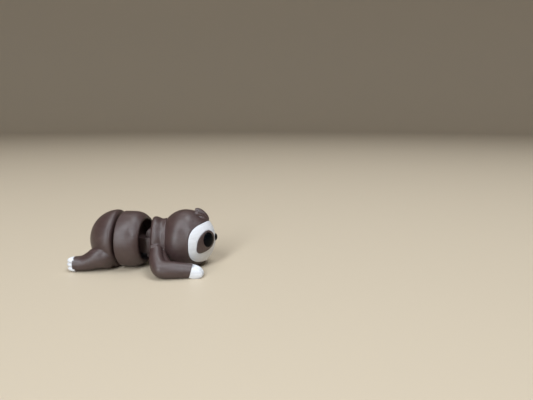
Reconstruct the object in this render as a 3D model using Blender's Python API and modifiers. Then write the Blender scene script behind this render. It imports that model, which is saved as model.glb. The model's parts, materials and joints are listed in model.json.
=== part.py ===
"""Articulated sloth toy, lying on its belly, printed in three linked sections.

Metres, +Z up, +X towards the nose. The middle section's axis lies along X, the
front section is swung to one side on its link, and the toy stands on flats at
Z = 0 with the middle of its footprint at the origin.

While it is modelled, the toy is straight: X is measured from the middle of the
head, and the two links are straightened. Empties on the link pins then bend it.
"""
import math

import bmesh
import bpy
from mathutils import Matrix, Vector

MM = 0.001
GAP = 0.3 * MM                # left between neighbouring pieces
FLOOR_DEPTH = 40 * MM         # depth of the block that cuts the flats

# Head: an egg with its pointed end forward, cut flat under the chin.
HEAD_X = 0.8 * MM             # widest cross-section
HEAD_Z = 20.7 * MM
HEAD_FRONT = 22.6 * MM        # widest section to nose bridge
HEAD_BACK = 20.3 * MM
HEAD_BACK_FULLNESS = 0.88      # 1 is an ellipse seen from above, less is fuller
HEAD_HALF_WIDTH = 21.9 * MM
HEAD_HALF_HEIGHT = 23.2 * MM
HEAD_POINT = 1.45             # 1 is an ellipse seen from above, 2 a parabola

# Face mask, eye patches and pupils, placed by angles on the head (degrees).
FACE_CENTRE = (0.0, -2.0)     # azimuth, elevation
FACE_HALF_AZIMUTH = 78.0
FACE_UP = 42.5
FACE_DOWN = 43.0
FACE_SQUARENESS = 2.8         # exponent of the rounded outline
FACE_BROW_DIP = 2.6           # how far the hairline dips between the brows
FACE_DEPTH = 2.6 * MM
PATCH_CENTRE = (36.8, 3.0)
PATCH_RADIUS = 19.5
PATCH_STRETCH = 0.14
PATCH_TILT = -30.0
PATCH_CORNER = 0.27
PATCH_CORNER_AT = -42.0
PATCH_CORNER_WIDTH = 22.0
PATCH_SINK = 0.9 * MM
PATCH_RISE = 0.6 * MM
PUPIL_CENTRE = (33.7, 5.4)
PUPIL_HALF_AZIMUTH = 12.3
PUPIL_HALF_ELEVATION = 13.9
PUPIL_DOME = 0.9 * MM
NOSE_CENTRE = (22.9 * MM, 0.0, 21.7 * MM)
NOSE_SIZE = (2.2 * MM, 3.75 * MM, 2.9 * MM)

# Hair tuft: locks that fan back from the hairline, as their two ends and radius in mm.
MIDDLE_LOCK = ((18.2, 0.0, 36.6), (7.2, 0.0, 43.9), 2.4)
SIDE_LOCK = ((16.8, 2.2, 37.2), (7.6, 5.4, 42.4), 2.1)

# Chest: a turned collar behind the head, with a pocket for the link.
CHEST_REAR = -24.7 * MM
CHEST_FRONT = -6.0 * MM
CHEST_HALF_WIDTH = 18.0 * MM
CHEST_NECK = 15.4 * MM
CHEST_Z = 19.6 * MM
CHEST_POCKET_RADIUS = 13.2 * MM
CHEST_POCKET_FLOOR = -20.9 * MM

# Arms: shoulder, elbow on the floor, forearm forward (x, y, z, radius) in mm.
ARM_STATIONS = ((-20.0, 13.0, 20.0, 4.4), (-20.0, 18.5, 17.0, 5.0),
                (-18.7, 25.5, 11.2, 5.7), (-15.4, 29.9, 6.9, 6.5),
                (-8.0, 30.9, 6.1, 6.3), (0.0, 30.6, 5.4, 5.8), (8.0, 30.2, 4.7, 5.2))
CUFF_X = 4.0 * MM             # where the sleeve of the arm ends
CUFF_SLANT = 17.0             # degrees that its top leans forward
HAND_CENTRE = (7.2 * MM, 30.0 * MM, 4.3 * MM)
HAND_SIZE = (5.6 * MM, 4.8 * MM, 4.6 * MM)
FINGER_SIZE = (6.6 * MM, 2.4 * MM, 4.9 * MM)
FINGER_SPACING = 3.3 * MM

# Middle section: a barrel ring with a wall across its middle.
LINK_GAP_FRONT = 5.0 * MM     # between the rims when straight
LINK_GAP_REAR = 2.6 * MM
RING_HALF_LENGTH = 8.7 * MM
RING_RADIUS = 21.5 * MM
RING_RIM_RADIUS = 17.5 * MM
RING_ROUNDING_FROM = -2.8 * MM # where the long rounding towards the front rim begins
RING_REAR_EDGE = 0.5 * MM      # rounding of the nearly square rear edge
RING_BORE = 15.6 * MM
RING_WALL = 2.0 * MM          # half the thickness of the wall across it
RING_Z = 21.3 * MM

# Rump: the back end of an ellipsoid, with a pocket for the link.
RUMP_LENGTH = 23.9 * MM
RUMP_CENTRE_BEHIND = 2.1 * MM # its ellipsoid's centre lies behind the rim
RUMP_HALF_WIDTH = 21.3 * MM
RUMP_HALF_HEIGHT = 22.8 * MM
RUMP_Z = 21.0 * MM
RUMP_RIM = 17.9 * MM
RUMP_ROUNDING = 3.5 * MM
RUMP_POCKET_RADIUS = 13.2 * MM
RUMP_POCKET_DEPTH = 8.6 * MM

# Legs, behind the rump's rim (x, y, z, radius) in mm, and the stacked toes.
LEG_STATIONS = ((-5.5, 13.0, 10.0, 7.0), (-9.0, 14.8, 10.8, 8.6), (-13.5, 16.2, 9.8, 8.4),
                (-18.5, 17.4, 8.0, 7.3), (-24.0, 18.6, 6.4, 6.1), (-33.0, 19.6, 5.8, 5.5))
ANKLE_BEHIND_RIM = 30.0 * MM
TOE_CENTRE = (-30.4 * MM, 19.2 * MM, 5.5 * MM)
TOE_SIZE = (5.8 * MM, 4.6 * MM, 2.6 * MM)
TOE_SPACING = 3.1 * MM

# Links: a round pin held in a loop turns in the hole of a tongue.
PIN_RADIUS = 2.4 * MM
HOLE_RADIUS = 2.9 * MM
TONGUE_HALF_WIDTH = 5.0 * MM
TONGUE_BOTTOM = 11.5 * MM
TONGUE_TOP = 23.4 * MM
LOOP_HALF_WIDTH = 3.1 * MM
LOOP_CLEARANCE = 0.5 * MM     # above and below the tongue
UPPER_ARM = 6.4 * MM          # height of the loop's arm above the tongue
LOWER_ARM = 3.8 * MM          # and of the one below it

# How far each link is swung in this pose, in degrees about +Z.
FRONT_BEND = 13.0
REAR_BEND = 1.5

RING_X = CHEST_REAR - LINK_GAP_FRONT - RING_HALF_LENGTH
FRONT_PIN_X = CHEST_REAR - LINK_GAP_FRONT / 2
REAR_PIN_X = RING_X - RING_HALF_LENGTH - LINK_GAP_REAR / 2
RUMP_RIM_X = REAR_PIN_X - LINK_GAP_REAR / 2

BROWN = (0.075, 0.042, 0.035)
WHITE = (0.80, 0.80, 0.84)
BLACK = (0.006, 0.008, 0.010)


def remove_startup_objects():
    for obj in list(bpy.data.objects):
        bpy.data.objects.remove(obj, do_unlink=True)


def make_collection(name):
    collection = bpy.data.collections.new(name)
    bpy.context.scene.collection.children.link(collection)
    return collection


def make_material(name, colour, roughness):
    material = bpy.data.materials.new(name)
    material.use_nodes = True
    shader = material.node_tree.nodes["Principled BSDF"]
    shader.inputs["Base Color"].default_value = (*colour, 1.0)
    shader.inputs["Roughness"].default_value = roughness
    shader.inputs["Metallic"].default_value = 0.0
    return material


def add_mesh(collection, name, bm, material=None):
    bmesh.ops.recalc_face_normals(bm, faces=bm.faces)
    if bm.calc_volume(signed=True) < 0:
        bmesh.ops.reverse_faces(bm, faces=bm.faces)
    mesh = bpy.data.meshes.new(name)
    bm.to_mesh(mesh)
    bm.free()
    mesh.shade_smooth()
    obj = bpy.data.objects.new(name, mesh)
    collection.objects.link(obj)
    if material:
        mesh.materials.append(material)
    return obj


def as_cutter(obj):
    obj.hide_render = True
    obj.display_type = "WIRE"
    return obj


def combine(obj, other, operation):
    modifier = obj.modifiers.new(f"{operation.lower()} {other.name}", "BOOLEAN")
    modifier.operation = operation
    modifier.object = other


def mesh_of(obj):
    """The mesh that a curve object makes."""
    evaluated = obj.evaluated_get(bpy.context.evaluated_depsgraph_get())
    return bpy.data.meshes.new_from_object(evaluated)


def ellipsoid(collection, name, centre, size, segments, rings, material=None, turn=None):
    bm = bmesh.new()
    bmesh.ops.create_uvsphere(bm, u_segments=segments, v_segments=rings, radius=1.0)
    bmesh.ops.scale(bm, vec=size, verts=bm.verts)
    if turn:
        bmesh.ops.transform(bm, matrix=turn, verts=bm.verts)
    bmesh.ops.translate(bm, vec=centre, verts=bm.verts)
    return add_mesh(collection, name, bm, material)


def block(collection, name, low, high):
    bm = bmesh.new()
    bmesh.ops.create_cube(bm, size=1.0)
    low, high = Vector(low), Vector(high)
    bmesh.ops.scale(bm, vec=high - low, verts=bm.verts)
    bmesh.ops.translate(bm, vec=(low + high) / 2, verts=bm.verts)
    return add_mesh(collection, name, bm)


def turned(collection, name, profile, steps, height, centre_z, material=None):
    """Turn a profile of (x, radius), front to back, about the X axis; height scales it along Z."""
    mesh = bpy.data.meshes.new(name)
    edges = [(i, i + 1) for i in range(len(profile) - 1)]
    mesh.from_pydata([(x, 0.0, radius) for x, radius in profile], edges, [])
    if material:
        mesh.materials.append(material)
    obj = bpy.data.objects.new(name, mesh)
    collection.objects.link(obj)
    obj.location.z = centre_z
    obj.scale.z = height
    screw = obj.modifiers.new("turn", "SCREW")
    screw.axis = "X"
    screw.steps = steps
    screw.render_steps = steps
    screw.use_merge_vertices = True
    screw.merge_threshold = 0.00001
    screw.use_smooth_shade = True
    return obj


def quarter_round(x_start, r_start, x_end, r_end, points, rising):
    """Points of a quarter ellipse between two ends; rising leaves the start along r."""
    arc = []
    for i in range(1, points + 1):
        angle = math.pi / 2 * i / points
        along, across = (1 - math.cos(angle), math.sin(angle))
        if not rising:
            along, across = across, along
        arc.append((x_start + (x_end - x_start) * along, r_start + (r_end - r_start) * across))
    return arc


def head_point(azimuth, elevation, lift=0.0):
    """A point on the head's egg at an azimuth and elevation in degrees, lifted off it."""
    azimuth, elevation = math.radians(azimuth), math.radians(elevation)
    ahead = math.cos(azimuth)
    if ahead > 0:
        reach = (HEAD_FRONT + lift) * ahead ** HEAD_POINT
    else:
        reach = -(HEAD_BACK + lift) * (-ahead) ** HEAD_BACK_FULLNESS
    return Vector((HEAD_X + reach * math.cos(elevation),
                   (HEAD_HALF_WIDTH + lift) * math.sin(azimuth) * math.cos(elevation),
                   HEAD_Z + (HEAD_HALF_HEIGHT + lift) * math.sin(elevation)))


def egg(collection, name, lift, segments, rings, material=None):
    bm = bmesh.new()
    bmesh.ops.create_uvsphere(bm, u_segments=segments, v_segments=rings, radius=1.0)
    for vert in bm.verts:
        azimuth = math.degrees(math.atan2(vert.co.y, vert.co.x))
        elevation = math.degrees(math.asin(max(-1.0, min(1.0, vert.co.z))))
        vert.co = head_point(azimuth, elevation, lift)
    return add_mesh(collection, name, bm, material)


def face_outline(angle):
    """Half-size of the mask towards an angle, as (azimuth, elevation) from its centre."""
    across, up = math.cos(angle), math.sin(angle)
    reach_up = FACE_UP if up > 0 else FACE_DOWN
    power = FACE_SQUARENESS
    scale = (abs(across / FACE_HALF_AZIMUTH) ** power + abs(up / reach_up) ** power) ** (-1 / power)
    azimuth, elevation = across * scale, up * scale
    if up > 0:
        elevation -= FACE_BROW_DIP * math.exp(-(azimuth / 9.0) ** 2)
    return azimuth, elevation


def patch_outline(angle):
    towards = math.degrees(angle)
    corner = (towards - PATCH_CORNER_AT + 180) % 360 - 180
    radius = PATCH_RADIUS * (1 + PATCH_STRETCH * math.cos(2 * (angle - math.radians(PATCH_TILT)))
                             + PATCH_CORNER * math.exp(-(corner / PATCH_CORNER_WIDTH) ** 2))
    return radius * math.cos(angle), radius * math.sin(angle)


def pupil_outline(angle):
    return PUPIL_HALF_AZIMUTH * math.cos(angle), PUPIL_HALF_ELEVATION * math.sin(angle)


def inlay(collection, name, centre, outline, low, high, segments, rings, side=1, grow=0.0, dome=0.0,
          material=None):
    """A plate that follows the head's surface inside an outline, from lift low to lift high.

    It is a sphere whose upper rings become the outer face and lower rings the inner face.
    grow widens the outline all round, in metres; dome lifts the middle of the outer face.
    """
    bm = bmesh.new()
    bmesh.ops.create_uvsphere(bm, u_segments=segments, v_segments=2 * rings + 1, radius=1.0)
    widen = math.degrees(grow / HEAD_HALF_HEIGHT)
    step = math.pi / (2 * rings + 1)
    for vert in bm.verts:
        polar = math.acos(max(-1.0, min(1.0, vert.co.z)))
        outer = polar < math.pi / 2
        share = min(1.0, (polar if outer else math.pi - polar) / (rings * step))
        angle = math.atan2(vert.co.y, vert.co.x)
        across, up = outline(angle)
        azimuth = centre[0] + share * (across + widen * math.cos(angle))
        elevation = centre[1] + share * (up + widen * math.sin(angle))
        lift = high + dome * (1 - share ** 2) if outer else low
        vert.co = head_point(azimuth, elevation, lift)
        vert.co.y *= side
    return add_mesh(collection, name, bm, material)


def smooth_stations(stations, per_span):
    """Catmull-Rom through (x, y, z, radius) stations."""
    points = [Vector(station) for station in stations]
    ends = [points[0] * 2 - points[1]] + points + [points[-1] * 2 - points[-2]]
    samples = []
    for i in range(len(points) - 1):
        a, b, c, d = ends[i:i + 4]
        for j in range(per_span):
            t = j / per_span
            samples.append(0.5 * (2 * b + (c - a) * t + (2 * a - 5 * b + 4 * c - d) * t ** 2
                                  + (3 * b - a - 3 * c + d) * t ** 3))
    samples.append(points[-1])
    return samples


def limb(collection, name, stations, side, grow=0.0, shift=0.0, material=None):
    """A tapering tube through stations in mm, mirrored to the other side by side = -1."""
    curve = bpy.data.curves.new(name + "_path", "CURVE")
    curve.dimensions = "3D"
    curve.bevel_depth = MM
    curve.bevel_resolution = 3
    curve.use_fill_caps = True
    samples = smooth_stations(stations, 2)
    spline = curve.splines.new("POLY")
    spline.points.add(len(samples) - 1)
    for point, (x, y, z, radius) in zip(spline.points, samples):
        point.co = (x * MM + shift, side * y * MM, z * MM, 1.0)
        point.radius = radius + grow / MM
    path = bpy.data.objects.new(name + "_path", curve)
    collection.objects.link(path)
    bm = bmesh.new()
    bm.from_mesh(mesh_of(path))
    bmesh.ops.remove_doubles(bm, verts=bm.verts, dist=0.00001)
    bpy.data.objects.remove(path)
    return add_mesh(collection, name, bm, material)


def end_cutter(cutters, name, x, side, slant, towards):
    """A slab that removes what lies beyond a slanted plane through (x, 0, 0)."""
    reach = 60 * MM
    low_x, high_x = (0.0, reach) if towards > 0 else (-reach, 0.0)
    low_y, high_y = (0.0, reach) if side > 0 else (-reach, 0.0)
    slab = block(cutters, name, (low_x, low_y, -reach), (high_x, high_y, reach))
    slab.data.transform(Matrix.Translation((x, 0, 0)) @ Matrix.Rotation(math.radians(slant), 4, "Y"))
    return as_cutter(slab)


def build_head(parts, cutters, brown):
    head = egg(parts, "head", 0.0, 30, 16, brown)
    recess = as_cutter(inlay(cutters, "face_recess", FACE_CENTRE, face_outline, -FACE_DEPTH - GAP,
                             4 * MM, 36, 4, grow=GAP))
    combine(head, recess, "DIFFERENCE")
    return head


def build_face(parts, cutters, white):
    face = inlay(parts, "face_mask", FACE_CENTRE, face_outline, -FACE_DEPTH, 0.0, 36, 4, material=white)
    for side, label in ((1, "left"), (-1, "right")):
        recess = as_cutter(inlay(cutters, f"eye_recess_{label}", PATCH_CENTRE, patch_outline,
                                 -PATCH_SINK - GAP, 3 * MM, 24, 2, side, grow=GAP))
        combine(face, recess, "DIFFERENCE")
    nose_recess = as_cutter(ellipsoid(cutters, "nose_recess", NOSE_CENTRE,
                                      [size + GAP for size in NOSE_SIZE], 16, 8))
    combine(face, nose_recess, "DIFFERENCE")


def build_eye(parts, cutters, label, side, brown, black):
    patch = inlay(parts, f"eye_patch_{label}", PATCH_CENTRE, patch_outline, -PATCH_SINK, PATCH_RISE,
                  24, 2, side, material=brown)
    seat = as_cutter(inlay(cutters, f"pupil_recess_{label}", PUPIL_CENTRE, pupil_outline, -GAP,
                           3 * MM, 20, 2, side, grow=GAP))
    combine(patch, seat, "DIFFERENCE")
    inlay(parts, f"pupil_{label}", PUPIL_CENTRE, pupil_outline, 0.0, PATCH_RISE, 20, 3, side,
          dome=PUPIL_DOME, material=black)


def build_nose(parts, black):
    ellipsoid(parts, "nose", NOSE_CENTRE, NOSE_SIZE, 16, 8, black)


def lock(collection, name, ends, side, material=None):
    """A spindle of hair between two ends, mirrored to the other side by side = -1."""
    front, rear = (Vector((x, side * y, z)) * MM for x, y, z in ends[:2])
    radius = ends[2] * MM
    turn = (front - rear).to_track_quat("X", "Z").to_matrix().to_4x4()
    size = ((front - rear).length / 2, radius, radius * 1.1)
    return ellipsoid(collection, name, (front + rear) / 2, size, 12, 8, material, turn)


def build_tuft(parts, cutters, skin, brown):
    tuft = lock(parts, "hair_tuft", MIDDLE_LOCK, 1, brown)
    for side, label in ((1, "left"), (-1, "right")):
        combine(tuft, as_cutter(lock(cutters, f"lock_{label}", SIDE_LOCK, side)), "UNION")
    combine(tuft, skin, "DIFFERENCE")


def chest_profile(lift=0.0):
    rear, front = CHEST_REAR - lift, CHEST_FRONT
    rim = CHEST_HALF_WIDTH - 2.2 * MM + lift
    crown = CHEST_HALF_WIDTH + lift
    outer = [(rear, rim)] + quarter_round(rear, rim, rear + 2.6 * MM, crown, 3, True)
    outer += quarter_round(outer[-1][0], crown, -15.5 * MM, CHEST_NECK + lift, 3, False)
    outer += [(front, CHEST_NECK - 2 * MM), (front, 0.0)]
    return outer[::-1]


def build_chest(parts, skin, floor, brown):
    pocket = [(CHEST_REAR, CHEST_POCKET_RADIUS), (CHEST_POCKET_FLOOR, CHEST_POCKET_RADIUS - 1.5 * MM),
              (CHEST_POCKET_FLOOR, 0.0)]
    height = CHEST_Z / CHEST_HALF_WIDTH
    chest = turned(parts, "chest", chest_profile() + pocket, 36, height, CHEST_Z, brown)
    combine(chest, skin, "DIFFERENCE")
    combine(chest, floor, "DIFFERENCE")


def build_arm(parts, cutters, label, side, skin, floor, brown, white):
    arm = limb(parts, f"arm_{label}", ARM_STATIONS, side, material=brown)
    height = (CHEST_Z + GAP) / (CHEST_HALF_WIDTH + GAP)
    profile = chest_profile(GAP) + [(CHEST_REAR - GAP, 0.0)]
    shoulder = as_cutter(turned(cutters, f"shoulder_{label}", profile, 36, height, CHEST_Z))
    cuff = end_cutter(cutters, f"cuff_{label}", CUFF_X, side, CUFF_SLANT, 1)
    for cutter in (shoulder, skin, cuff, floor):
        combine(arm, cutter, "DIFFERENCE")
    centre = Vector(HAND_CENTRE)
    centre.y *= side
    hand = ellipsoid(parts, f"hand_{label}", centre, HAND_SIZE, 14, 8, white)
    for number in (-1, 0, 1):
        place = centre + Vector((0.6 * MM * (1 - abs(number)), number * FINGER_SPACING, 0.3 * MM))
        finger = ellipsoid(cutters, f"finger_{label}_{number + 2}", place, FINGER_SIZE, 12, 6)
        combine(hand, as_cutter(finger), "UNION")
    sleeve = end_cutter(cutters, f"sleeve_{label}", CUFF_X + GAP, side, CUFF_SLANT, -1)
    for cutter in (sleeve, floor):
        combine(hand, cutter, "DIFFERENCE")


def ring_profile():
    half, wall = RING_HALF_LENGTH, RING_WALL
    front = [(wall, 0.0), (wall, RING_BORE - 1 * MM), (half, RING_BORE)]
    for share in (1.0, 0.95, 0.87, 0.76, 0.6, 0.4, 0.0):
        x = RING_ROUNDING_FROM + (half - RING_ROUNDING_FROM) * share
        front.append((x, RING_RADIUS - (RING_RADIUS - RING_RIM_RADIUS) * share ** 2.9))
    rear = [(-half + RING_REAR_EDGE, RING_RADIUS), (-half, RING_RADIUS - RING_REAR_EDGE),
            (-half, RING_BORE), (-wall, RING_BORE - 1 * MM), (-wall, 0.0)]
    return [(x + RING_X, radius) for x, radius in front + rear]


def build_ring(parts, floor, brown):
    ring = turned(parts, "belly_ring", ring_profile(), 36, 1.0, RING_Z, brown)
    combine(ring, floor, "DIFFERENCE")


def rump_profile(lift=0.0):
    rim_x, length = RUMP_RIM_X + lift, RUMP_LENGTH
    centre = RUMP_RIM_X - RUMP_CENTRE_BEHIND
    reach = length - RUMP_CENTRE_BEHIND
    crest_x = RUMP_RIM_X - RUMP_ROUNDING
    crest = RUMP_HALF_WIDTH * math.sqrt(1 - ((crest_x - centre) / reach) ** 2) + lift
    outline = [(rim_x, RUMP_RIM + lift)]
    outline += quarter_round(rim_x, RUMP_RIM + lift, crest_x, crest, 3, True)
    start = math.asin((centre - crest_x) / reach)
    for i in range(1, 8):
        angle = start + (math.pi / 2 - start) * i / 7
        outline.append((centre - (reach + lift) * math.sin(angle),
                        (RUMP_HALF_WIDTH + lift) * math.cos(angle)))
    outline[-1] = (outline[-1][0], 0.0)
    return outline


def build_rump(parts, floor, brown):
    pocket_x = RUMP_RIM_X - RUMP_POCKET_DEPTH
    pocket = [(pocket_x, 0.0), (pocket_x, RUMP_POCKET_RADIUS - 1.5 * MM), (RUMP_RIM_X, RUMP_POCKET_RADIUS)]
    height = RUMP_HALF_HEIGHT / RUMP_HALF_WIDTH
    rump = turned(parts, "rump", pocket + rump_profile(), 36, height, RUMP_Z, brown)
    combine(rump, floor, "DIFFERENCE")


def build_leg(parts, cutters, label, side, floor, brown, white):
    leg = limb(parts, f"leg_{label}", LEG_STATIONS, side, shift=RUMP_RIM_X, material=brown)
    height = (RUMP_HALF_HEIGHT + GAP) / (RUMP_HALF_WIDTH + GAP)
    profile = [(RUMP_RIM_X + GAP, 0.0)] + rump_profile(GAP)
    hip = as_cutter(turned(cutters, f"hip_{label}", profile, 36, height, RUMP_Z))
    ankle_x = RUMP_RIM_X - ANKLE_BEHIND_RIM
    ankle = end_cutter(cutters, f"ankle_{label}", ankle_x, side, 0.0, -1)
    for cutter in (hip, ankle, floor):
        combine(leg, cutter, "DIFFERENCE")
    centre = Vector(TOE_CENTRE) + Vector((RUMP_RIM_X, 0, 0))
    centre.y *= side
    foot = ellipsoid(parts, f"foot_{label}", centre, TOE_SIZE, 14, 8, white)
    for number in (-1, 1):
        place = centre + Vector((0.5 * MM, 0, number * TOE_SPACING))
        toe = ellipsoid(cutters, f"toe_{label}_{number + 2}", place, TOE_SIZE, 14, 8)
        combine(foot, as_cutter(toe), "UNION")
    sock = end_cutter(cutters, f"sock_{label}", ankle_x - GAP, side, 0.0, 1)
    for cutter in (sock, floor):
        combine(foot, cutter, "DIFFERENCE")


def rounded_plan(length, radius, points):
    """Flat outline in XY: a bar from 0 to length, with a half circle about its far end."""
    outline = [(0.0, -radius), (0.0, radius)]
    for i in range(points + 1):
        angle = math.pi / 2 - math.pi * i / points
        outline.append((length + radius * math.cos(angle), radius * math.sin(angle)))
    return outline


def plate(collection, name, outline, thickness, place, material=None):
    """A flat plate, centred on Z = 0, from a closed outline in XY, then put in place."""
    curve = bpy.data.curves.new(name + "_outline", "CURVE")
    curve.dimensions = "2D"
    curve.fill_mode = "BOTH"
    curve.extrude = thickness / 2
    spline = curve.splines.new("POLY")
    spline.points.add(len(outline) - 1)
    for point, (x, y) in zip(spline.points, outline):
        point.co = (x, y, 0.0, 1.0)
    spline.use_cyclic_u = True
    flat = bpy.data.objects.new(name + "_outline", curve)
    collection.objects.link(flat)
    bm = bmesh.new()
    bm.from_mesh(mesh_of(flat))
    bmesh.ops.remove_doubles(bm, verts=bm.verts, dist=0.00001)
    bmesh.ops.transform(bm, matrix=place, verts=bm.verts)
    bpy.data.objects.remove(flat)
    return add_mesh(collection, name, bm, material)


def cylinder(collection, name, x, radius, low, high, sides, material=None):
    bm = bmesh.new()
    bmesh.ops.create_cone(bm, cap_ends=True, segments=sides, radius1=radius, radius2=radius,
                          depth=high - low, matrix=Matrix.Translation((x, 0, (low + high) / 2)))
    return add_mesh(collection, name, bm, material)


def build_tongue(parts, cutters, name, pin_x, root_x, material):
    """A bar from the wall at root_x whose round end has the hole for the pin."""
    direction = 1 if pin_x > root_x else -1
    outline = rounded_plan(abs(pin_x - root_x), TONGUE_HALF_WIDTH, 12)
    middle = (TONGUE_BOTTOM + TONGUE_TOP) / 2
    place = Matrix.Translation((root_x, 0, middle)) @ Matrix.Scale(direction, 4, (1, 0, 0))
    tongue = plate(parts, name, outline, TONGUE_TOP - TONGUE_BOTTOM, place, material)
    hole = cylinder(cutters, name + "_hole", pin_x, HOLE_RADIUS, TONGUE_BOTTOM - MM, TONGUE_TOP + MM, 24)
    combine(tongue, as_cutter(hole), "DIFFERENCE")


def loop_arm_outline(length, height):
    """Side view of one arm: square at the root, its outer tip rounded."""
    outline = [(0.0, 0.0), (0.0, height)]
    corner = 0.75 * height
    for i in range(5):
        angle = math.pi / 2 * i / 4
        outline.append((length - corner + corner * math.sin(angle),
                        height - corner + corner * math.cos(angle)))
    outline.append((length, 0.0))
    return outline


def build_loop(parts, cutters, name, pin_x, root_x, material):
    """Two arms from the wall at root_x that hold the pin above and below the tongue."""
    direction = 1 if pin_x > root_x else -1
    length = abs(pin_x - root_x) + PIN_RADIUS + 0.1 * MM
    stand_up = Matrix.Rotation(math.pi / 2, 4, "X")
    mirror = Matrix.Scale(direction, 4, (1, 0, 0))
    top_z = TONGUE_TOP + LOOP_CLEARANCE
    bottom_z = TONGUE_BOTTOM - LOOP_CLEARANCE
    upper = Matrix.Translation((root_x, 0, top_z)) @ mirror @ stand_up
    lower = Matrix.Translation((root_x, 0, bottom_z)) @ mirror @ Matrix.Scale(-1, 4, (0, 0, 1)) @ stand_up
    width = 2 * LOOP_HALF_WIDTH
    loop = plate(parts, name, loop_arm_outline(length, UPPER_ARM), width, upper, material)
    arm = plate(cutters, name + "_lower", loop_arm_outline(length, LOWER_ARM), width, lower)
    pin = cylinder(cutters, name + "_pin", pin_x, PIN_RADIUS, bottom_z - MM, top_z + MM, 24)
    combine(loop, as_cutter(pin), "UNION")
    combine(loop, as_cutter(arm), "UNION")


def footprint_centre(parts):
    """Middle of the toy's box in X and Y, from the evaluated meshes."""
    bpy.context.view_layer.update()
    depsgraph = bpy.context.evaluated_depsgraph_get()
    points = []
    for obj in parts.objects:
        if obj.type == "MESH":
            evaluated = obj.evaluated_get(depsgraph)
            points += [evaluated.matrix_world @ vert.co for vert in evaluated.data.vertices]
    return [(min(p[axis] for p in points) + max(p[axis] for p in points)) / 2 for axis in (0, 1)]


def hang_on(empty, objects, pin_x):
    """Parent objects to an empty on a pin without moving them."""
    for obj in objects:
        obj.parent = empty
        obj.matrix_parent_inverse = Matrix.Translation((-pin_x, 0, 0))


def make_empty(collection, name, location, parent=None):
    empty = bpy.data.objects.new(name, None)
    collection.objects.link(empty)
    empty.empty_display_size = 10 * MM
    empty.location = location
    empty.parent = parent
    return empty


def assemble(parts, front, middle, rear):
    """Bend the straight toy at its pins and centre its footprint on the origin."""
    root = make_empty(parts, "toy_origin", (0, 0, 0))
    front_pin = make_empty(parts, "front_pin_axis", (FRONT_PIN_X, 0, 0), root)
    rear_pin = make_empty(parts, "rear_pin_axis", (REAR_PIN_X, 0, 0), root)
    hang_on(front_pin, front, FRONT_PIN_X)
    hang_on(rear_pin, rear, REAR_PIN_X)
    hang_on(root, middle, 0.0)
    front_pin.rotation_euler.z = math.radians(FRONT_BEND)
    rear_pin.rotation_euler.z = math.radians(REAR_BEND)
    centre = footprint_centre(parts)
    root.location = (-centre[0], -centre[1], 0)
    bpy.context.view_layer.update()
    for label, empty in (("front", front_pin), ("rear", rear_pin)):
        print(f"{label} pin axis at", [round(value, 5) for value in empty.matrix_world.translation])


def build_front(parts, cutters, floor, brown, white, black):
    skin = as_cutter(egg(cutters, "head_clearance", GAP, 30, 16))
    head = build_head(parts, cutters, brown)
    combine(head, floor, "DIFFERENCE")
    build_face(parts, cutters, white)
    build_nose(parts, black)
    build_tuft(parts, cutters, skin, brown)
    build_chest(parts, skin, floor, brown)
    for side, label in ((1, "left"), (-1, "right")):
        build_eye(parts, cutters, label, side, brown, black)
        build_arm(parts, cutters, label, side, skin, floor, brown, white)
    build_loop(parts, cutters, "front_loop", FRONT_PIN_X, CHEST_POCKET_FLOOR - GAP, brown)


def build_middle(parts, cutters, floor, brown):
    build_ring(parts, floor, brown)
    build_tongue(parts, cutters, "ring_tongue", FRONT_PIN_X, RING_X + RING_WALL + GAP, brown)
    build_loop(parts, cutters, "ring_loop", REAR_PIN_X, RING_X - RING_WALL - GAP, brown)


def build_rear(parts, cutters, floor, brown, white):
    build_rump(parts, floor, brown)
    build_tongue(parts, cutters, "rump_tongue", REAR_PIN_X, RUMP_RIM_X - RUMP_POCKET_DEPTH + GAP, brown)
    for side, label in ((1, "left"), (-1, "right")):
        build_leg(parts, cutters, label, side, floor, brown, white)


def main():
    remove_startup_objects()
    parts = make_collection("sloth_toy")
    cutters = make_collection("cutters")
    brown = make_material("chocolate plastic", BROWN, 0.55)
    white = make_material("white plastic", WHITE, 0.6)
    black = make_material("black gloss", BLACK, 0.25)
    floor = as_cutter(block(cutters, "floor_cut", (-0.2, -0.2, -FLOOR_DEPTH), (0.2, 0.2, 0.0)))

    build_front(parts, cutters, floor, brown, white, black)
    front = [obj for obj in (*parts.objects, *cutters.objects) if obj is not floor]
    build_middle(parts, cutters, floor, brown)
    middle = [obj for obj in (*parts.objects, *cutters.objects) if obj not in (floor, *front)]
    build_rear(parts, cutters, floor, brown, white)
    rear = [obj for obj in (*parts.objects, *cutters.objects) if obj not in (floor, *front, *middle)]
    assemble(parts, front, middle, rear)


main()
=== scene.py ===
import json
import math

import bmesh
import bpy
import numpy as np
from mathutils import Matrix, Vector


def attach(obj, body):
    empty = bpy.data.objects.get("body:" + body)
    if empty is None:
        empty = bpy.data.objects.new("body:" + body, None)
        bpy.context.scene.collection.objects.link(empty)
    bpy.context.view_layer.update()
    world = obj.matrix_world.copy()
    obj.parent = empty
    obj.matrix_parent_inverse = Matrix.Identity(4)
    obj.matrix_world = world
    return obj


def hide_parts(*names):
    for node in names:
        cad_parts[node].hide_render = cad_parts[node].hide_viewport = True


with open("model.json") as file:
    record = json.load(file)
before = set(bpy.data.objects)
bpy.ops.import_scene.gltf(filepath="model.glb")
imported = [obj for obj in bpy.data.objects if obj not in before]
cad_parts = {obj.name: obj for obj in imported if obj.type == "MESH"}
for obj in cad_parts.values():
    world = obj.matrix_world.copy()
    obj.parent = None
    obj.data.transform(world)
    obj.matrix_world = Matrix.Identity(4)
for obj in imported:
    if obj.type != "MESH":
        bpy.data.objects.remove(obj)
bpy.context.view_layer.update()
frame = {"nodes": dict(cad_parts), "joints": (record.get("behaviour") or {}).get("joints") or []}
mm = 0.001

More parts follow.
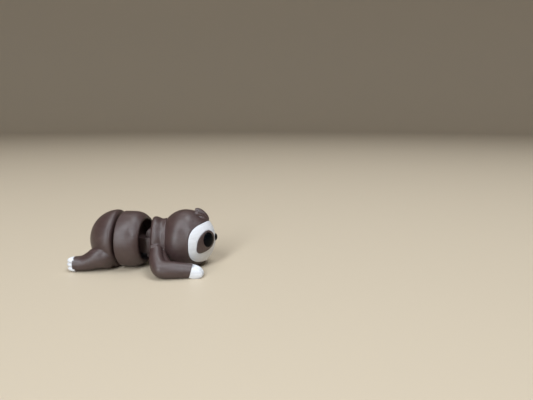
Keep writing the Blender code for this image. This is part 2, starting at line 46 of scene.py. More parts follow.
# The toy is shaped straight, in mm: x from the middle of the head towards the nose, z up.
# Each section is then turned about the pin of its link, as the CAD bodies are.
pose = {
    "frontPinX": -27.2,
    "rearPinX": -48.4,
    "frontBend": 13.0,       # degrees
    "rearBend": 1.5,
}
pins = {joint["name"]: Vector(joint["pos_m"]) for joint in frame["joints"]}


def sectionPlace(pinName, pinX, bend):
    pin = pins[pinName]
    turn = Matrix.Rotation(math.radians(bend), 4, "Z")
    return Matrix.Translation((pin.x, pin.y, 0)) @ turn @ Matrix.Translation((-pinX * mm, 0, 0))


places = {
    "front_body": sectionPlace("front_link", pose["frontPinX"], pose["frontBend"]),
    "middle_body": sectionPlace("front_link", pose["frontPinX"], 0),
    "rear_body": sectionPlace("rear_link", pose["rearPinX"], pose["rearBend"]),
}


# An input given as a socket is linked, any other value is set on the node.
def addNode(tree, kind, inputs=None, **settings):
    node = tree.nodes.new(kind)
    for key, value in settings.items():
        setattr(node, key, value)
    for key, value in (inputs or {}).items():
        if isinstance(value, bpy.types.NodeSocket):
            tree.links.new(value, node.inputs[key])
        else:
            node.inputs[key].default_value = value
    return node


def mathNode(tree, operation, first, second=0.0, third=0.0):
    values = {0: first, 1: second, 2: third}
    return addNode(tree, "ShaderNodeMath", values, operation=operation).outputs[0]


# Printed layers: fine ridges at one height all round, wide bands of shade, and a faint mottle.
layerPattern = {
    "sway": {"Scale": 120.0, "Detail": 2.0},
    "bands": {"Scale": 4.0, "Detail": 4.0, "Roughness": 0.65},
    "mottle": {"Scale": 260.0, "Detail": 3.0, "Roughness": 0.6},
    "ridgePower": 0.6, "bandSpread": 22.0,
}


def makeLayerGroup():
    group = bpy.data.node_groups.new("printedLayers", "ShaderNodeTree")
    for name in ("Layer Height", "Waver", "Band Stretch"):
        group.interface.new_socket(name, in_out="INPUT", socket_type="NodeSocketFloat")
    for name in ("Ridges", "Bands", "Mottle"):
        group.interface.new_socket(name, in_out="OUTPUT", socket_type="NodeSocketFloat")
    start = group.nodes.new("NodeGroupInput")
    end = group.nodes.new("NodeGroupOutput")
    coords = group.nodes.new("ShaderNodeTexCoord").outputs["Object"]
    place = addNode(group, "ShaderNodeSeparateXYZ", {0: coords})
    sway = addNode(group, "ShaderNodeTexNoise", {"Vector": coords, **layerPattern["sway"]})
    shift = mathNode(group, "MULTIPLY", mathNode(group, "SUBTRACT", sway.outputs[0], 0.5),
                     start.outputs["Waver"])
    layer = mathNode(group, "DIVIDE", mathNode(group, "ADD", place.outputs["Z"], shift),
                     start.outputs["Layer Height"])
    phase = mathNode(group, "MULTIPLY", layer, 2 * math.pi)
    wave = mathNode(group, "MULTIPLY_ADD", mathNode(group, "COSINE", phase), 0.5, 0.5)
    ridges = mathNode(group, "POWER", wave, layerPattern["ridgePower"])
    flat = mathNode(group, "MULTIPLY", place.outputs["Z"], start.outputs["Band Stretch"])
    across = mathNode(group, "MULTIPLY", place.outputs["X"], layerPattern["bandSpread"])
    along = mathNode(group, "MULTIPLY", place.outputs["Y"], layerPattern["bandSpread"])
    bandPlace = addNode(group, "ShaderNodeCombineXYZ", {"X": across, "Y": along, "Z": flat})
    bands = addNode(group, "ShaderNodeTexNoise",
                    {"Vector": bandPlace.outputs[0], **layerPattern["bands"]})
    mottle = addNode(group, "ShaderNodeTexNoise", {"Vector": coords, **layerPattern["mottle"]})
    group.links.new(ridges, end.inputs["Ridges"])
    group.links.new(bands.outputs[0], end.inputs["Bands"])
    group.links.new(mottle.outputs[0], end.inputs["Mottle"])
    return group


layerGroup = makeLayerGroup()

# "layers" holds the inputs of the printed layers, "ridge" how high they stand, in m.
plastics = {
    "brown": {"dark": (0.040, 0.021, 0.019), "light": (0.064, 0.036, 0.034),
              "rough": (0.30, 0.42), "specular": 0.72, "ridge": 0.00006,
              "layers": {"Layer Height": 0.0002, "Waver": 0.00003, "Band Stretch": 420.0}},
    "white": {"dark": (0.62, 0.63, 0.66), "light": (0.76, 0.78, 0.82),
              "rough": (0.50, 0.64), "specular": 0.45, "ridge": 0.00004,
              "layers": {"Layer Height": 0.0002, "Waver": 0.00003, "Band Stretch": 420.0}},
    "black": {"dark": (0.0008, 0.001, 0.0012), "light": (0.002, 0.003, 0.004),
              "rough": (0.14, 0.22), "specular": 0.06, "ridge": 0.00001,
              "layers": {"Layer Height": 0.0002, "Waver": 0.00003, "Band Stretch": 420.0}},
}
shading = {
    "bandShare": 0.75, "mottleShare": 0.35,      # of the pattern that picks dark or light
    "darkBelow": 0.35, "lightAbove": 0.75,
    "smoothBelow": 0.3, "dullAbove": 0.7,
    "bumpStrength": 0.6,
}


def makePlastic(name, look):
    material = bpy.data.materials.new(name + "Plastic")
    material.use_nodes = True
    tree = material.node_tree
    shader = tree.nodes["Principled BSDF"]
    layers = addNode(tree, "ShaderNodeGroup", look["layers"], node_tree=layerGroup)
    mottle = mathNode(tree, "MULTIPLY", layers.outputs["Mottle"], shading["mottleShare"])
    tone = mathNode(tree, "MULTIPLY_ADD", layers.outputs["Bands"], shading["bandShare"], mottle)
    ramp = addNode(tree, "ShaderNodeValToRGB", {0: tone})
    dark, light = ramp.color_ramp.elements
    dark.position, light.position = shading["darkBelow"], shading["lightAbove"]
    dark.color, light.color = (*look["dark"], 1), (*look["light"], 1)
    rough = addNode(tree, "ShaderNodeMapRange", {
        "Value": layers.outputs["Bands"],
        "From Min": shading["smoothBelow"], "From Max": shading["dullAbove"],
        "To Min": look["rough"][0], "To Max": look["rough"][1]})
    bump = addNode(tree, "ShaderNodeBump", {
        "Height": layers.outputs["Ridges"], "Strength": shading["bumpStrength"],
        "Distance": look["ridge"]})
    tree.links.new(ramp.outputs["Color"], shader.inputs["Base Color"])
    tree.links.new(rough.outputs[0], shader.inputs["Roughness"])
    tree.links.new(bump.outputs[0], shader.inputs["Normal"])
    shader.inputs["Specular IOR Level"].default_value = look["specular"]
    return material


materials = {name: makePlastic(name, look) for name, look in plastics.items()}
print("materials made")


# Every shape is worked out in mm and becomes metres here.
def meshObject(name, verts, faces):
    mesh = bpy.data.meshes.new(name)
    mesh.from_pydata([tuple(v) for v in np.asarray(verts, float) * mm], [], faces)
    obj = bpy.data.objects.new(name, mesh)
    bpy.context.scene.collection.objects.link(obj)
    return obj


def loftFaces(count, around, start=0):
    faces = []
    for row in range(count - 1):
        low, high = start + row * around, start + (row + 1) * around
        for i in range(around):
            j = (i + 1) % around
            faces.append((low + i, low + j, high + j, high + i))
    return faces


# A closed body from rings of points, with a single point at each end.
def loft(rings, first, last):
    around = len(rings[0])
    verts = np.vstack([np.asarray(first)[None], *rings, np.asarray(last)[None]])
    faces = loftFaces(len(rings), around, 1)
    end = len(verts) - 1
    low = end - around
    for i in range(around):
        j = (i + 1) % around
        faces.append((0, 1 + j, 1 + i))
        faces.append((end, low + i, low + j))
    return verts, faces


# A round tube through stations of (x, y, z, radius), on a smooth curve.
def roundTube(stations, around=28, perSpan=6):
    points = np.array(stations, float)
    ends = np.vstack([2 * points[0] - points[1], points, 2 * points[-1] - points[-2]])
    path = []
    for i in range(len(points) - 1):
        a, b, c, d = ends[i:i + 4]
        for t in np.arange(perSpan) / perSpan:
            path.append(0.5 * (2 * b + (c - a) * t + (2 * a - 5 * b + 4 * c - d) * t ** 2
                               + (3 * b - a - 3 * c + d) * t ** 3))
    path = np.array(path + [points[-1]])
    angles = np.linspace(0, 2 * math.pi, around, endpoint=False)
    heads = np.gradient(path[:, :3], axis=0)
    rings = []
    side = np.array((0.0, 0.0, 1.0))
    for (x, y, z, radius), head in zip(path, heads):
        head = head / np.linalg.norm(head)
        side = side - head * side.dot(head)
        side /= np.linalg.norm(side)
        other = np.cross(head, side)
        ring = np.outer(np.cos(angles), side) + np.outer(np.sin(angles), other)
        rings.append(np.array((x, y, z)) + radius * ring)
    return loft(rings, path[0][:3], path[-1][:3])


# An ellipsoid, turned about z and pitched about y.
def blob(centre, size, turn=0.0, pitch=0.0, around=32, rows=18):
    rings = []
    angles = np.linspace(0, 2 * math.pi, around, endpoint=False)
    for polar in np.linspace(0, math.pi, rows + 2)[1:-1]:
        rings.append(np.stack([np.full(around, math.cos(polar)), math.sin(polar) * np.cos(angles),
                               math.sin(polar) * np.sin(angles)], axis=1))
    verts, faces = loft(rings, (1, 0, 0), (-1, 0, 0))
    turned = Matrix.Rotation(math.radians(turn), 3, "Z")
    pitched = Matrix.Rotation(math.radians(pitch), 3, "Y")
    return (verts * size) @ np.array(turned @ pitched).T + centre, faces


def roundBox(low, high, radius):
    bm = bmesh.new()
    bmesh.ops.create_cube(bm, size=1)
    low, high = Vector(low), Vector(high)
    bmesh.ops.scale(bm, vec=high - low, verts=bm.verts)
    bmesh.ops.translate(bm, vec=(low + high) / 2, verts=bm.verts)
    bmesh.ops.bevel(bm, geom=bm.edges, offset=radius, segments=4, affect="EDGES", profile=0.5)
    bm.verts.index_update()
    verts = np.array([v.co for v in bm.verts])
    faces = [tuple(v.index for v in face.verts) for face in bm.faces]
    bm.free()
    return verts, faces


# Turn a profile of (x, radius), front to back, about the section's axis.
def lathe(profile, centreZ, tall=1.0, around=160):
    angles = np.linspace(0, 2 * math.pi, around, endpoint=False)
    rings = []
    for x, radius in profile:
        rings.append(np.stack([np.full(around, x), radius * np.cos(angles),
                               centreZ + tall * radius * np.sin(angles)], axis=1))
    return loft(rings, (profile[0][0], 0, centreZ), (profile[-1][0], 0, centreZ))


def mirrored(solid):
    verts, faces = solid
    return verts * (1, -1, 1), [face[::-1] for face in faces]


# Cut the corners of a profile, twice, so that they turn smoothly.
def rounded(profile, passes=2):
    points = np.array(profile, float)
    for _ in range(passes):
        mid = [points[0]]
        for a, b in zip(points, points[1:]):
            mid += [0.75 * a + 0.25 * b, 0.25 * a + 0.75 * b]
        points = np.array(mid + [points[-1]])
    return [tuple(p) for p in points]


# Melt closed shapes into one skin: voxels join them, and a few smoothing steps round the joins.
def melted(name, solids, voxel, smoothing):
    verts, faces = [], []
    for solidVerts, solidFaces in solids:
        offset = len(verts)
        verts.extend(np.asarray(solidVerts).tolist())
        faces.extend(tuple(i + offset for i in face) for face in solidFaces)
    obj = meshObject(name, verts, faces)
    remesh = obj.modifiers.new("melt", "REMESH")
    remesh.mode = "VOXEL"
    remesh.voxel_size = voxel * mm
    smooth = obj.modifiers.new("smooth", "SMOOTH")
    smooth.factor = 0.5
    smooth.iterations = smoothing
    return applied(obj)


def applied(obj):
    depsgraph = bpy.context.evaluated_depsgraph_get()
    mesh = bpy.data.meshes.new_from_object(obj.evaluated_get(depsgraph))
    obj.modifiers.clear()
    obj.data = mesh
    return obj


# Cut away what lies beyond planes (point, normal), close each cut and soften its edge.
def trimmed(obj, planes, soften=0.0):
    bm = bmesh.new()
    bm.from_mesh(obj.data)
    for point, normal in planes:
        cut = bmesh.ops.bisect_plane(bm, geom=bm.verts[:] + bm.edges[:] + bm.faces[:],
                                     dist=1e-7, plane_co=Vector(point) * mm, plane_no=normal,
                                     clear_outer=True)
        rim = [e for e in cut["geom_cut"] if isinstance(e, bmesh.types.BMEdge)]
        bmesh.ops.holes_fill(bm, edges=rim, sides=0)
        if soften:
            rim = [e for e in rim if e.is_valid]
            bmesh.ops.bevel(bm, geom=rim, offset=soften * mm, segments=2, affect="EDGES",
                            profile=0.5, clamp_overlap=True)
    bmesh.ops.triangulate(bm, faces=[face for face in bm.faces if len(face.verts) > 4])
    bm.to_mesh(obj.data)
    bm.free()
    return obj


# Flat where it lies on the floor.
def flattened(obj, soften=0.2):
    return trimmed(obj, [((0, 0, 0), (0, 0, -1))], soften)


# Give a piece its plastic and its body, and hide the CAD nodes it stands for.
def finished(obj, body, finish, *nodes, angle=40):
    obj.data.materials.clear()
    obj.data.materials.append(materials[finish])
    obj.data.shade_smooth()
    obj.data.set_sharp_from_angle(angle=math.radians(angle))
    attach(obj, body)
    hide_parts(*nodes)
    return obj


# The same for a piece that is still straight, after moving it to its body's place.
def dress(obj, body, finish, *nodes, angle=40):
    obj.data.transform(places[body])
    return finished(obj, body, finish, *nodes, angle=angle)


# The head's surface is drawn in degrees across and up from its middle.
head = {
    "x": 0.8, "z": 20.7, "front": 22.6, "back": 20.3, "halfWidth": 21.9, "halfHeight": 23.2,
    "point": 1.45, "ease": 0.5,      # how soon the face narrows, and how far its cheeks fill
    "fullness": 0.88,                # of the back of the head
    "creaseWidth": 0.6, "creaseDepth": 0.9, "creaseFrom": 0.15,
    "underMask": 1.6, "rows": 120,
}


def headPoint(across, up, lift=0.0):
    across, up = np.radians(across), np.radians(up)
    ahead = np.cos(across)
    c = np.clip(ahead, 0, 1)
    front = (head["front"] + lift) * (c ** head["point"] + head["ease"] * c * (1 - c) ** 3)
    rear = -(head["back"] + lift) * np.clip(-ahead, 0, 1) ** head["fullness"]
    reach = np.where(ahead > 0, front, rear)
    x = head["x"] + reach * np.cos(up)
    y = (head["halfWidth"] + lift) * np.sin(across) * np.cos(up)
    z = head["z"] + (head["halfHeight"] + lift) * np.sin(up)
    return np.stack([x, y, z], axis=-1)


# The mask's outline in degrees; the rest in mm.
face = {
    "centreUp": -2.1, "halfAcross": 80.5, "up": 42.4, "down": 43.0, "squareness": 2.8,
    "browDip": 2.6, "browHalf": 9.0,
    "edge": 0.35, "edgeDrop": 0.3, "sides": (0.7, 1.3), "rows": 150,
    "grooveDepth": 0.35, "grooveWidth": 0.28,      # round each eye patch
    "smileZ": 14.5, "smileHalf": 5.4, "smileLift": 1.2, "smileDepth": 0.28, "smileWidth": 0.42,
}


def faceOutline(angle):
    across, up = np.cos(angle), np.sin(angle)
    reachUp = np.where(up > 0, face["up"], face["down"])
    power = face["squareness"]
    spread = np.abs(across / face["halfAcross"]) ** power + np.abs(up / reachUp) ** power
    scale = spread ** (-1 / power)
    dip = face["browDip"] * np.exp(-(across * scale / face["browHalf"]) ** 2)
    dip = np.where(up > 0, dip, 0)
    return across * scale, up * scale - dip + face["centreUp"]


# Directions from the middle of the head, as the angle off the nose and the angle round it.
def offNose(across, up):
    across, up = np.radians(across), np.radians(up)
    x, y, z = np.cos(across) * np.cos(up), np.sin(across) * np.cos(up), np.sin(up)
    return np.degrees(np.arccos(x)), np.degrees(np.arctan2(z, y)) % 360


# And back again.
def fromNose(off, around):
    off, around = np.radians(off), np.radians(around)
    x, y, z = np.cos(off), np.sin(off) * np.cos(around), np.sin(off) * np.sin(around)
    return np.degrees(np.arctan2(y, x)), np.degrees(np.arcsin(np.clip(z, -1, 1)))


aroundFace = np.linspace(0, 360, 288, endpoint=False)
edgeOff, edgeAround = offNose(*faceOutline(np.linspace(0, 2 * math.pi, 1441)))
order = np.argsort(edgeAround)
hairline = np.interp(aroundFace, edgeAround[order], edgeOff[order], period=360)
degreePerMm = math.degrees(1 / head["halfHeight"])


def headRing(off, lift):
    return headPoint(*fromNose(off, aroundFace), lift)


def makeHead():
    width = head["creaseWidth"] * degreePerMm
    under, start = head["underMask"], head["creaseFrom"]
    rings = [headRing(hairline - share * width, -under) for share in (1.5, 0.6)]
    for step in np.linspace(0, 1, 7):
        drop = head["creaseDepth"] * (1 - math.sin(step * math.pi / 2))
        rings.append(headRing(hairline + (start + (1 - start) * step) * width, -drop))
    for share in np.linspace(0, 1, head["rows"])[1:-1]:
        rings.append(headRing(hairline + width + (180 - hairline - width) * share, 0))
    inner = headPoint(0.0, 0.0, -under)
    back = headPoint(180.0, 0.0)
    obj = meshObject("headSkin", *loft(rings[::-1], back, inner))
    flattened(obj, 0.25)
    return dress(obj, "front_body", "brown", "head", angle=60)


# Places and outlines in degrees on the head; rise, bevel, dome and sides in mm.
eye = {
    "patchAt": (36.8, 3.0), "patchRadius": 20.0, "stretch": 0.14, "tilt": -30.0,
    "corner": 0.27, "cornerAt": -42.0, "cornerWidth": 22.0,
    "patchRise": 0.6, "bevel": 0.45, "patchSides": (-0.3, -0.9),
    "pupilAt": (33.7, 5.4), "pupilAcross": 12.3, "pupilUp": 13.9,
    "pupilRise": 0.75, "pupilDome": 0.9,
}


# An oval with its low outer corner pulled out.
def patchOutline(angle):
    corner = (np.degrees(angle) - eye["cornerAt"] + 180) % 360 - 180
    oval = eye["stretch"] * np.cos(2 * (angle - math.radians(eye["tilt"])))
    pulled = eye["corner"] * np.exp(-(corner / eye["cornerWidth"]) ** 2)
    radius = eye["patchRadius"] * (1 + oval + pulled)
    return radius * np.cos(angle), radius * np.sin(angle)


def pupilOutline(angle):
    return eye["pupilAcross"] * np.cos(angle), eye["pupilUp"] * np.sin(angle)


# How far a direction lies outside an outline about a centre, in mm on the head.
def beyond(across, up, centre, outline):
    right, above = across - centre[0], up - centre[1]
    edgeX, edgeY = outline(np.arctan2(above, right))
    return (np.hypot(right, above) - np.hypot(edgeX, edgeY)) / degreePerMm


# The mask sinks at its edge, round the patches and along the smile.
def faceLift(off):
    across, up = fromNose(off, aroundFace)
    inside = (hairline - off) / degreePerMm
    edge = np.clip(1 - inside / face["edge"], 0, 1)
    lift = -face["edgeDrop"] * edge ** 2
    gap = beyond(np.abs(across), up, eye["patchAt"], patchOutline)
    lift -= face["grooveDepth"] * np.exp(-(gap / face["grooveWidth"]) ** 2)
    point = headPoint(across, up)
    y, z = point[:, 1], point[:, 2]
    smile = face["smileZ"] + face["smileLift"] * (y / face["smileHalf"]) ** 2
    fade = np.clip(1 - (np.abs(y) / face["smileHalf"]) ** 4, 0, 1)
    lift -= face["smileDepth"] * fade * np.exp(-((z - smile) / face["smileWidth"]) ** 2)
    return lift


def makeFace():
    rings = []
    for share in np.linspace(0, 1, face["rows"])[1:]:
        off = hairline * share
        rings.append(headRing(off, faceLift(off)))
    rings += [headRing(hairline, -depth) for depth in face["sides"]]
    front = headPoint(0.0, 0.0)
    inner = headPoint(0.0, 0.0, -face["sides"][-1])
    obj = meshObject("faceMask", *loft(rings, front, inner))
    return dress(obj, "front_body", "white", "face_mask", angle=60)


# A raised plate on the head inside an outline; profile holds (share of the outline, lift).
def capOnHead(name, centre, outline, profile, side, around=120):
    angles = np.linspace(0, 2 * math.pi, around, endpoint=False)
    edgeX, edgeY = outline(angles)
    rings = [headPoint(centre[0] + share * edgeX, centre[1] + share * edgeY, lift)
             for share, lift in profile]
    first = headPoint(*centre, profile[0][1])
    last = headPoint(*centre, profile[-1][1])
    solid = loft(rings, first, last)
    return meshObject(name, *(solid if side > 0 else mirrored(solid)))


def makeEye(side, label):
    rise, bevel = eye["patchRise"], eye["bevel"]
    edge = 1 - bevel * degreePerMm / eye["patchRadius"]
    profile = [(share, rise) for share in np.linspace(0.06, edge, 16)]
    for turn in np.linspace(0, math.pi / 2, 6)[1:]:
        profile.append((edge + (1 - edge) * math.sin(turn),
                        rise - bevel * (1 - math.cos(turn))))
    profile += [(1.0, lift) for lift in eye["patchSides"]]
    patch = capOnHead("eyePatch" + label, eye["patchAt"], patchOutline, profile, side)
    dress(patch, "front_body", "brown", "eye_patch_" + label.lower(), angle=70)
    rise, dome = eye["pupilRise"], eye["pupilDome"]
    profile = []
    for share in np.linspace(0.05, 0.93, 14):
        profile.append((share, rise + dome * math.sqrt(1 - share ** 2)))
    profile += [(0.97, rise + 0.16 * dome), (0.99, rise), (1.0, rise - 0.15), (1.0, 0.1)]
    pupil = capOnHead("pupil" + label, eye["pupilAt"], pupilOutline, profile, side, around=96)
    dress(pupil, "front_body", "black", "pupil_" + label.lower(), angle=70)


nose = {"at": (22.5, 0.0, 21.8), "size": (2.3, 3.75, 2.75), "square": 2.4}


def makeNose():
    verts, faces = blob((0, 0, 0), (1, 1, 1), around=64, rows=40)
    power = nose["square"]
    spread = (np.abs(verts) ** power).sum(axis=1) ** (-1 / power)
    verts = verts * spread[:, None] * nose["size"] + nose["at"]
    return dress(meshObject("nose_skin", verts, faces), "front_body", "black", "nose")


# Three ridges of hair that meet at the hairline and fan out over the crown.
tuft = {
    "middle": ((18.0, 0.0, 36.0, 1.0), (16.0, 0.0, 38.6, 1.9), (13.2, 0.0, 41.0, 2.4),
               (10.2, 0.0, 42.7, 2.5), (7.8, 0.0, 43.4, 1.5)),
    "outer": ((17.8, 1.0, 35.8, 0.9), (15.6, 2.3, 37.8, 1.5), (12.6, 3.7, 39.9, 1.9),
              (9.8, 4.8, 41.2, 1.9), (7.6, 5.6, 41.7, 1.2)),
    "baseAt": (12.4, 0.0, 38.6), "baseSize": (7.2, 6.6, 2.7), "basePitch": 32.0,
    "voxel": 0.2, "smoothing": 3,
}


def makeTuft():
    outer = roundTube(tuft["outer"], around=24)
    base = blob(tuft["baseAt"], tuft["baseSize"], pitch=tuft["basePitch"])
    locks = [roundTube(tuft["middle"], around=24), outer, mirrored(outer), base]
    obj = melted("hairTuft", locks, tuft["voxel"], tuft["smoothing"])
    return dress(obj, "front_body", "brown", "hair_tuft", angle=80)


makeHead()
makeFace()
for side, label in ((1, "Left"), (-1, "Right")):
    makeEye(side, label)
makeNose()
makeTuft()
print("head done")


# The chest's profile of (x, radius) runs from inside the head to the hollow behind the rim.
chest = {
    "z": 19.6, "tall": 1.089, "voxel": 0.34, "smoothing": 4,
    "profile": ((-6.0, 12.0), (-11.6, 13.0), (-12.8, 15.0), (-13.8, 16.5), (-14.9, 16.3),
                (-17.0, 15.9), (-19.8, 17.2), (-22.2, 17.9), (-23.9, 17.3), (-24.7, 15.8),
                (-24.7, 13.9), (-24.0, 13.2), (-20.9, 12.2)),
}
arm = {
    "stations": ((-20.2, 13.0, 19.2, 4.0), (-20.2, 18.3, 16.4, 4.6), (-18.9, 25.5, 11.0, 5.6),
                 (-15.4, 29.9, 6.9, 6.5), (-8.0, 30.9, 6.1, 6.3), (0.0, 30.6, 5.4, 5.8),
                 (8.0, 30.2, 4.7, 5.2)),
    "shoulderLow": (-24.3, 8.0, 9.0), "shoulderHigh": (-18.6, 19.9, 21.6), "shoulderRound": 1.0,
    "inner": ((-17.6, 11.0, 16.0, 3.4), (-17.0, 17.0, 12.6, 4.6), (-14.8, 22.0, 8.6, 5.2),
              (-11.6, 25.6, 6.2, 5.4), (-5.0, 28.6, 5.6, 5.0)),
    "cuffX": 4.0, "cuffSlant": 17.0, "cuffSoft": 0.35,
}
hand = {
    "palmAt": (6.4, 30.0, 4.2), "palmSize": (5.6, 4.6, 4.0),
    "clawAt": (7.1, 30.0, 4.1), "clawSize": (7.5, 2.15, 4.3), "spacing": 3.3,
    "spread": 3.0, "droop": 15.0, "middleAhead": 0.7, "insideCuff": 1.0,
    "voxel": 0.2, "smoothing": 4,
}


# A cutting plane at x that leans back by some degrees.
def slanted(x, degrees, towards):
    slope = math.radians(degrees)
    return (x, 0, 0), (towards * math.cos(slope), 0, -towards * math.sin(slope))


def makeChest():
    tube = roundTube(arm["stations"])
    shoulder = roundBox(arm["shoulderLow"], arm["shoulderHigh"], arm["shoulderRound"])
    inner = roundTube(arm["inner"])
    solids = [lathe(rounded(chest["profile"]), chest["z"], chest["tall"])]
    for solid in (tube, shoulder, inner):
        solids += [solid, mirrored(solid)]
    obj = melted("chestAndArms", solids, chest["voxel"], chest["smoothing"])
    trimmed(obj, [slanted(arm["cuffX"], arm["cuffSlant"], 1)], soften=arm["cuffSoft"])
    flattened(obj)
    return dress(obj, "front_body", "brown", "chest", "arm_left", "arm_right", angle=60)


def makeHand(side, label):
    solids = [blob(hand["palmAt"], hand["palmSize"])]
    for number in (-1, 0, 1):
        ahead = hand["middleAhead"] * (1 - abs(number))
        centre = np.array(hand["clawAt"]) + (ahead, number * hand["spacing"], 0)
        turn = number * hand["spread"]
        solids.append(blob(centre, hand["clawSize"], turn=turn, pitch=hand["droop"]))
    if side < 0:
        solids = [mirrored(solid) for solid in solids]
    obj = melted("hand" + label, solids, hand["voxel"], hand["smoothing"])
    trimmed(obj, [slanted(arm["cuffX"] - hand["insideCuff"], arm["cuffSlant"], -1)])
    flattened(obj)
    return dress(obj, "front_body", "white", "hand_" + label.lower(), angle=60)


makeChest()
for side, label in ((1, "Left"), (-1, "Right")):
    makeHand(side, label)
print("chest and arms done")


# The ring is nearly square behind and rounds off towards the front; both ends are hollow.
ring = {
    "x": -38.4, "z": 21.3, "half": 8.7, "radius": 21.5, "frontRim": 17.5,
    "roundFrom": -2.8, "power": 2.9, "rounding": 26, "around": 240,
    "hollow": ((2.0, 0.2), (2.0, 12.0), (2.1, 14.2), (3.2, 14.8), (7.6, 15.5), (8.4, 15.8),
               (8.7, 16.4)),
    "rearEdge": ((-8.1, 21.5), (-8.45, 21.42), (-8.65, 21.2), (-8.7, 20.9)),
}


def ringProfile():
    span = ring["half"] - ring["roundFrom"]
    drop = ring["radius"] - ring["frontRim"]
    profile = rounded(ring["hollow"])
    for share in np.linspace(0.985, 0, ring["rounding"]):
        profile.append((ring["roundFrom"] + span * share,
                        ring["radius"] - drop * share ** ring["power"]))
    profile += list(ring["rearEdge"])
    profile += [(-x, radius) for x, radius in rounded(ring["hollow"])[::-1]]
    return [(ring["x"] + x, radius) for x, radius in profile]


def makeRing():
    obj = meshObject("bellyRing", *lathe(ringProfile(), ring["z"], around=ring["around"]))
    flattened(obj)
    return dress(obj, "middle_body", "brown", "belly_ring", angle=60)


# The links keep their shape and place from the CAD, with softened edges.
link = {"weld": 0.002, "flatWithin": 4, "edgeOver": 35, "soft": 0.35, "segments": 3}


def makeLink(name, node, body):
    mesh = frame["nodes"][node].data.copy()
    obj = bpy.data.objects.new(name, mesh)
    bpy.context.scene.collection.objects.link(obj)
    bm = bmesh.new()
    bm.from_mesh(mesh)
    bmesh.ops.remove_doubles(bm, verts=bm.verts, dist=link["weld"] * mm)
    bmesh.ops.dissolve_limit(bm, angle_limit=math.radians(link["flatWithin"]), verts=bm.verts,
                             edges=bm.edges)
    bm.to_mesh(mesh)
    bm.free()
    bevel = obj.modifiers.new("soft edges", "BEVEL")
    bevel.width = link["soft"] * mm
    bevel.segments = link["segments"]
    bevel.angle_limit = math.radians(link["edgeOver"])
    return finished(applied(obj), body, "brown", node)


makeRing()
makeLink("frontLoop", "front_loop", "front_body")
makeLink("ringTongue", "ring_tongue", "middle_body")
makeLink("ringLoop", "ring_loop", "middle_body")
makeLink("rumpTongue", "rump_tongue", "rear_body")
print("ring and links done")


# From here x is measured from the rump's rim.
rump = {
    "rimX": -49.7, "z": 21.0, "tall": 1.07, "voxel": 0.34, "smoothing": 12,
    "pocket": ((-8.6, 12.0), (-8.0, 12.6), (-0.8, 13.2), (0.0, 13.9)),
    "rim": ((0.0, 15.5), (0.0, 18.1), (-0.6, 19.9), (-1.9, 21.0)),
    "centreBehind": 2.1, "reach": 21.8, "halfWidth": 21.3,
}
leg = {
    "stations": ((-3.4, 9.0, 12.5, 4.0), (-5.6, 12.6, 11.4, 7.4), (-9.0, 14.6, 10.8, 8.6),
                 (-13.5, 16.0, 9.7, 8.2), (-18.5, 17.4, 7.6, 6.9), (-24.0, 18.6, 6.1, 5.8),
                 (-33.0, 19.6, 5.7, 5.4)),
    "hipAt": (-6.8, 13.4, 10.6), "hipSize": (6.4, 7.9, 9.6),
    "ankleX": -29.4, "ankleSoft": 0.4,
}
foot = {
    "at": (-29.8, 19.2, 5.4), "size": (5.8, 4.5, 2.6), "spacing": 3.05,
    "outerAhead": 0.5, "insideAnkle": 1.2, "voxel": 0.2, "smoothing": 3,
}


def shifted(solid, x):
    verts, faces = solid
    return verts + (x, 0, 0), faces


def makeRump():
    dome = []
    for angle in np.linspace(0.07, math.pi / 2 - 0.01, 28):
        dome.append((-rump["centreBehind"] - rump["reach"] * math.sin(angle),
                     rump["halfWidth"] * math.cos(angle)))
    barrel = lathe([*rump["pocket"], *rounded(rump["rim"]), *dome], rump["z"], rump["tall"])
    tube = roundTube(leg["stations"])
    hip = blob(leg["hipAt"], leg["hipSize"])
    solids = [barrel, tube, mirrored(tube), hip, mirrored(hip)]
    solids = [shifted(solid, rump["rimX"]) for solid in solids]
    obj = melted("rumpAndLegs", solids, rump["voxel"], rump["smoothing"])
    trimmed(obj, [((rump["rimX"] + leg["ankleX"], 0, 0), (-1, 0, 0))], soften=leg["ankleSoft"])
    flattened(obj)
    return dress(obj, "rear_body", "brown", "rump", "leg_left", "leg_right", angle=60)


def makeFoot(side, label):
    solids = []
    for number in (-1, 0, 1):
        x = rump["rimX"] + foot["outerAhead"] * abs(number)
        centre = np.array(foot["at"]) + (x, 0, number * foot["spacing"])
        solids.append(blob(centre, foot["size"]))
    if side < 0:
        solids = [mirrored(solid) for solid in solids]
    obj = melted("foot" + label, solids, foot["voxel"], foot["smoothing"])
    trimmed(obj, [((rump["rimX"] + leg["ankleX"] + foot["insideAnkle"], 0, 0), (1, 0, 0))])
    flattened(obj)
    return dress(obj, "rear_body", "white", "foot_" + label.lower(), angle=60)


makeRump()
for side, label in ((1, "Left"), (-1, "Right")):
    makeFoot(side, label)
print("rump and legs done")


# A round floor that curves up into a plain wall, in m.
floorShape = {
    "flatTo": (0.5, 1.5), "reach": 3.2, "cove": 1.6, "wallTop": 5.0, "around": 96, "steps": 17,
}
studio = {
    "floorColour": (0.56, 0.475, 0.36), "floorRoughness": 0.5,
    "worldColour": (0.90, 0.93, 1.0), "worldStrength": 0.20,
    "lightsAimAt": (0.0, 0.0, 0.02),
}
lights = {
    "key": {"at": (-0.38, -1.96, 1.40), "size": (0.52, 1.90), "power": 64,
            "colour": (0.88, 0.94, 1.0)},
    "right": {"at": (0.84, -0.30, 2.10), "size": (1.0, 1.0), "power": 28,
              "colour": (0.86, 0.93, 1.0)},
    "top": {"at": (-0.30, 0.50, 2.20), "size": (1.6, 1.6), "power": 12,
            "colour": (1.0, 0.97, 0.93)},
}


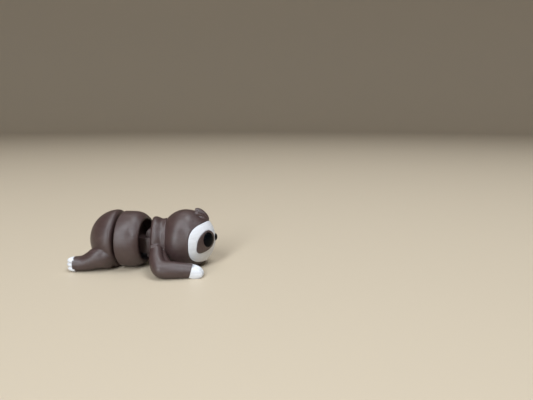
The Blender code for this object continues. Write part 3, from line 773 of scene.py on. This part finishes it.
def floorMesh():
    reach, cove, around = floorShape["reach"], floorShape["cove"], floorShape["around"]
    profile = [(radius, 0.0) for radius in floorShape["flatTo"]]
    for turn in np.linspace(0, math.pi / 2, floorShape["steps"]):
        profile.append((reach + cove * math.sin(turn), cove * (1 - math.cos(turn))))
    profile.append((reach + cove, floorShape["wallTop"]))
    angles = np.linspace(0, 2 * math.pi, around, endpoint=False)
    rings = [np.stack([radius * np.cos(angles), radius * np.sin(angles), np.full(around, z)],
                      axis=1) for radius, z in profile]
    verts = np.vstack([np.zeros((1, 3)), *rings]) / mm
    middle = [(0, 1 + i, 1 + (i + 1) % around) for i in range(around)]
    outside = [quad[::-1] for quad in loftFaces(len(rings), around, 1)]      # facing up and in
    return verts, middle + outside


def makeStudio():
    material = bpy.data.materials.new("paleFloor")
    material.use_nodes = True
    tree = material.node_tree
    shader = tree.nodes["Principled BSDF"]
    shader.inputs["Base Color"].default_value = (*studio["floorColour"], 1)
    shader.inputs["Roughness"].default_value = studio["floorRoughness"]
    floor = meshObject("floor", *floorMesh())
    floor.data.shade_smooth()
    floor.data.materials.append(material)
    world = bpy.data.worlds.new("softRoom")
    world.use_nodes = True
    background = world.node_tree.nodes["Background"]
    background.inputs["Color"].default_value = (*studio["worldColour"], 1)
    background.inputs["Strength"].default_value = studio["worldStrength"]
    bpy.context.scene.world = world
    for name, light in lights.items():
        data = bpy.data.lights.new(name + "Light", "AREA")
        data.energy = light["power"]
        data.shape = "RECTANGLE"
        data.size, data.size_y = light["size"]
        data.color = light["colour"]
        lamp = bpy.data.objects.new(name + "Light", data)
        lamp.location = light["at"]
        aim = Vector(studio["lightsAimAt"]) - Vector(light["at"])
        lamp.rotation_euler = aim.to_track_quat("-Z", "Y").to_euler()
        bpy.context.scene.collection.objects.link(lamp)


viewpoint = {
    "from": (0.1458, -0.3301, 0.1147),       # m from the middle of the belly ring, at floor level
    "turn": 7.5, "down": 10.3,               # degrees
    "lens": 31.0, "sensor": 36, "clip": (0.01, 40),
}


def makeCamera():
    data = bpy.data.cameras.new("viewer")
    data.lens = viewpoint["lens"]
    data.sensor_width = viewpoint["sensor"]
    data.clip_start, data.clip_end = viewpoint["clip"]
    camera = bpy.data.objects.new("viewer", data)
    ringCentre = places["middle_body"] @ Vector((ring["x"] * mm, 0, 0))
    camera.location = ringCentre + Vector(viewpoint["from"])
    turn, down = math.radians(viewpoint["turn"]), math.radians(viewpoint["down"])
    camera.rotation_euler = (math.pi / 2 - down, 0, turn)
    bpy.context.scene.collection.objects.link(camera)
    bpy.context.scene.camera = camera


makeStudio()
makeCamera()
bpy.context.scene.view_settings.view_transform = "Standard"
print("studio done")
